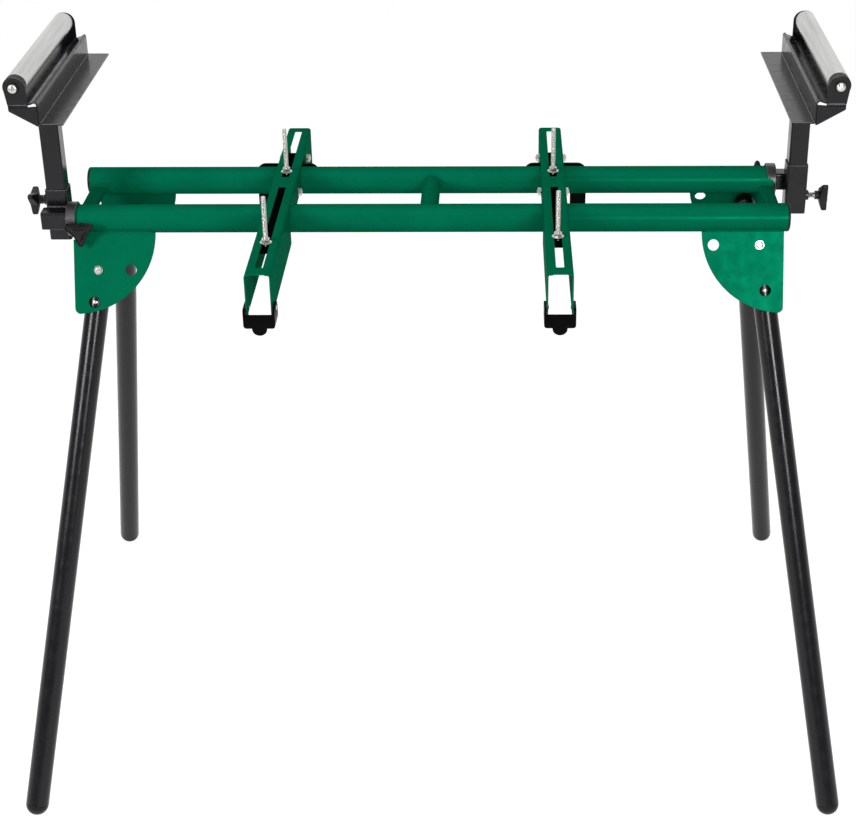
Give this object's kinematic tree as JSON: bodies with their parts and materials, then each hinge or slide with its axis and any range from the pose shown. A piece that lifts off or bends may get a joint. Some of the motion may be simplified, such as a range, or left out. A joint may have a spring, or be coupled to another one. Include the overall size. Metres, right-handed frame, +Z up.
{
  "type": "miter saw stand",
  "caption": "Folding two-rail stand with splayed locking legs, slotted sliding saw arms and pull-out roller supports with height posts and clamping knobs.",
  "frame": {"origin": "on the floor, under the middle of the two rails", "axes": "+X along the rails towards the right support, +Y away from the user, +Z up"},
  "size_m": [1.1628, 0.7732, 1.0195],
  "materials": {
    "green_paint": "deep green satin powder coat",
    "black_paint": "black satin powder coat",
    "black_plastic": "moulded matt black nylon",
    "zinc_plate": "bright zinc plated steel",
    "roller_steel": "bright zinc plated tube, lightly brushed round its length"
  },
  "bodies": {
    "frame": {"front_rail": "green_paint", "rear_rail": "green_paint", "front_rail_end_cap": "black_plastic", "rear_rail_end_cap": "black_plastic", "left_crossbar": "green_paint", "middle_crossbar": "green_paint", "right_crossbar": "green_paint", "left_support_collar": "black_plastic", "right_support_collar": "black_plastic", "front_left_bracket": "green_paint", "front_left_pivot_bolt": "zinc_plate", "front_right_bracket": "green_paint", "front_right_pivot_bolt": "zinc_plate", "rear_left_bracket": "green_paint", "rear_left_pivot_bolt": "zinc_plate", "rear_right_bracket": "green_paint", "rear_right_pivot_bolt": "zinc_plate"},
    "front_left_leg": {"front_left_leg_tube": "black_paint", "front_left_foot_cap": "black_plastic"},
    "front_left_button": {"front_left_snap_button": "zinc_plate"},
    "front_right_leg": {"front_right_leg_tube": "black_paint", "front_right_foot_cap": "black_plastic"},
    "front_right_button": {"front_right_snap_button": "zinc_plate"},
    "rear_left_leg": {"rear_left_leg_tube": "black_paint", "rear_left_foot_cap": "black_plastic"},
    "rear_left_button": {"rear_left_snap_button": "zinc_plate"},
    "rear_right_leg": {"rear_right_leg_tube": "black_paint", "rear_right_foot_cap": "black_plastic"},
    "rear_right_button": {"rear_right_snap_button": "zinc_plate"},
    "left_arm": {"left_arm_channel": "green_paint", "left_arm_spacer_bolt": "zinc_plate", "left_arm_jaw_bolt": "zinc_plate"},
    "left_arm_front_stud": {"left_arm_front_stud": "zinc_plate"},
    "left_arm_rear_stud": {"left_arm_rear_stud": "zinc_plate"},
    "left_arm_jaw": {"left_arm_jaw": "black_paint"},
    "left_arm_lever": {"left_arm_lever": "black_paint"},
    "right_arm": {"right_arm_channel": "green_paint", "right_arm_spacer_bolt": "zinc_plate", "right_arm_jaw_bolt": "zinc_plate"},
    "right_arm_front_stud": {"right_arm_front_stud": "zinc_plate"},
    "right_arm_rear_stud": {"right_arm_rear_stud": "zinc_plate"},
    "right_arm_jaw": {"right_arm_jaw": "black_paint"},
    "right_arm_lever": {"right_arm_lever": "black_paint"},
    "left_support_extension": {"left_support_extension_bar": "black_paint", "left_support_sleeve": "black_paint"},
    "left_support_post": {"left_support_post": "black_paint", "left_support_roller_bracket": "black_paint", "left_support_roller_axle": "zinc_plate"},
    "left_support_roller": {"left_support_roller": "roller_steel"},
    "left_support_post_knob": {"left_support_post_knob": "black_plastic"},
    "left_support_collar_knob": {"left_support_collar_knob": "black_plastic"},
    "right_support_extension": {"right_support_extension_bar": "black_paint", "right_support_sleeve": "black_paint"},
    "right_support_post": {"right_support_post": "black_paint", "right_support_roller_bracket": "black_paint", "right_support_roller_axle": "zinc_plate"},
    "right_support_roller": {"right_support_roller": "roller_steel"},
    "right_support_post_knob": {"right_support_post_knob": "black_plastic"},
    "right_support_collar_knob": {"right_support_collar_knob": "black_plastic"}
  },
  "joints": [
    {"name": "front_left_leg_fold", "type": "hinge", "parent": "frame", "child": "front_left_leg", "pos_m": [-0.455, -0.08898, 0.72387], "axis": [0, -0.9294, 0.3691], "range_deg": [0, 98.24]},
    {"name": "front_left_button_press", "type": "slide", "parent": "front_left_leg", "child": "front_left_button", "axis": [0, -0.9294, 0.3691], "range_m": [0, 0.004], "stiffness_N_per_m": 150, "springref_m": 0.004},
    {"name": "front_right_leg_fold", "type": "hinge", "parent": "frame", "child": "front_right_leg", "pos_m": [0.455, -0.0768, 0.75454], "axis": [0, 0.9294, -0.3691], "range_deg": [0, 97.91]},
    {"name": "front_right_button_press", "type": "slide", "parent": "front_right_leg", "child": "front_right_button", "axis": [0, -0.9294, 0.3691], "range_m": [0, 0.004], "stiffness_N_per_m": 150, "springref_m": 0.004},
    {"name": "rear_left_leg_fold", "type": "hinge", "parent": "frame", "child": "rear_left_leg", "pos_m": [-0.455, 0.08898, 0.72387], "axis": [0, -0.9294, -0.3691], "range_deg": [0, 98.24]},
    {"name": "rear_left_button_press", "type": "slide", "parent": "rear_left_leg", "child": "rear_left_button", "axis": [0, 0.9294, 0.3691], "range_m": [0, 0.004], "stiffness_N_per_m": 150, "springref_m": 0.004},
    {"name": "rear_right_leg_fold", "type": "hinge", "parent": "frame", "child": "rear_right_leg", "pos_m": [0.455, 0.0768, 0.75454], "axis": [0, 0.9294, 0.3691], "range_deg": [0, 97.91]},
    {"name": "rear_right_button_press", "type": "slide", "parent": "rear_right_leg", "child": "rear_right_button", "axis": [0, 0.9294, 0.3691], "range_m": [0, 0.004], "stiffness_N_per_m": 150, "springref_m": 0.004},
    {"name": "left_arm_slide", "type": "slide", "parent": "frame", "child": "left_arm", "axis": [1, 0, 0], "range_m": [-0.12, 0.15]},
    {"name": "left_arm_front_stud_slide", "type": "slide", "parent": "left_arm", "child": "left_arm_front_stud", "axis": [0, 1, 0], "range_m": [-0.076, 0.02]},
    {"name": "left_arm_rear_stud_slide", "type": "slide", "parent": "left_arm", "child": "left_arm_rear_stud", "axis": [0, 1, 0], "range_m": [-0.006, 0.08]},
    {"name": "left_arm_jaw_swing", "type": "hinge", "parent": "left_arm", "child": "left_arm_jaw", "pos_m": [-0.205, 0.148, 0.801], "axis": [1, 0, 0], "range_deg": [0, 20]},
    {"name": "left_arm_lever_lift", "type": "hinge", "parent": "left_arm", "child": "left_arm_lever", "pos_m": [-0.205, -0.318, 0.77], "axis": [-1, 0, 0], "range_deg": [0, 35]},
    {"name": "right_arm_slide", "type": "slide", "parent": "frame", "child": "right_arm", "axis": [1, 0, 0], "range_m": [-0.13, 0.15]},
    {"name": "right_arm_front_stud_slide", "type": "slide", "parent": "right_arm", "child": "right_arm_front_stud", "axis": [0, 1, 0], "range_m": [-0.094, 0.02]},
    {"name": "right_arm_rear_stud_slide", "type": "slide", "parent": "right_arm", "child": "right_arm_rear_stud", "axis": [0, 1, 0], "range_m": [-0.006, 0.08]},
    {"name": "right_arm_jaw_swing", "type": "hinge", "parent": "right_arm", "child": "right_arm_jaw", "pos_m": [0.174, 0.148, 0.801], "axis": [1, 0, 0], "range_deg": [0, 20]},
    {"name": "right_arm_lever_lift", "type": "hinge", "parent": "right_arm", "child": "right_arm_lever", "pos_m": [0.174, -0.318, 0.77], "axis": [-1, 0, 0], "range_deg": [0, 35]},
    {"name": "left_support_pull_out", "type": "slide", "parent": "frame", "child": "left_support_extension", "axis": [-1, 0, 0], "range_m": [-0.0025, 0.3]},
    {"name": "left_support_post_height", "type": "slide", "parent": "left_support_extension", "child": "left_support_post", "axis": [0, 0, 1], "range_m": [-0.12, 0.04]},
    {"name": "left_support_roller_spin", "type": "hinge", "parent": "left_support_post", "child": "left_support_roller", "pos_m": [-0.5278, 0, 1.0055], "axis": [0, 1, 0], "continuous": true},
    {"name": "left_support_post_knob_turn", "type": "hinge", "parent": "left_support_extension", "child": "left_support_post_knob", "pos_m": [-0.5336, -0.0462, 0.8117], "axis": [-1, 0, 0], "continuous": true},
    {"name": "left_support_collar_knob_turn", "type": "hinge", "parent": "frame", "child": "left_support_collar_knob", "pos_m": [-0.475, -0.09337, 0.78998], "axis": [0, -0.9781, -0.2079], "continuous": true},
    {"name": "right_support_pull_out", "type": "slide", "parent": "frame", "child": "right_support_extension", "axis": [1, 0, 0], "range_m": [-0.0105, 0.292]},
    {"name": "right_support_post_height", "type": "slide", "parent": "right_support_extension", "child": "right_support_post", "axis": [0, 0, 1], "range_m": [-0.12, 0.04]},
    {"name": "right_support_roller_spin", "type": "hinge", "parent": "right_support_post", "child": "right_support_roller", "pos_m": [0.5358, 0, 1.0055], "axis": [0, 1, 0], "continuous": true},
    {"name": "right_support_post_knob_turn", "type": "hinge", "parent": "right_support_extension", "child": "right_support_post_knob", "pos_m": [0.5416, 0.0462, 0.7804], "axis": [1, 0, 0], "continuous": true},
    {"name": "right_support_collar_knob_turn", "type": "hinge", "parent": "frame", "child": "right_support_collar_knob", "pos_m": [0.475, 0.09337, 0.78998], "axis": [0, 0.9781, -0.2079], "continuous": true}
  ]
}
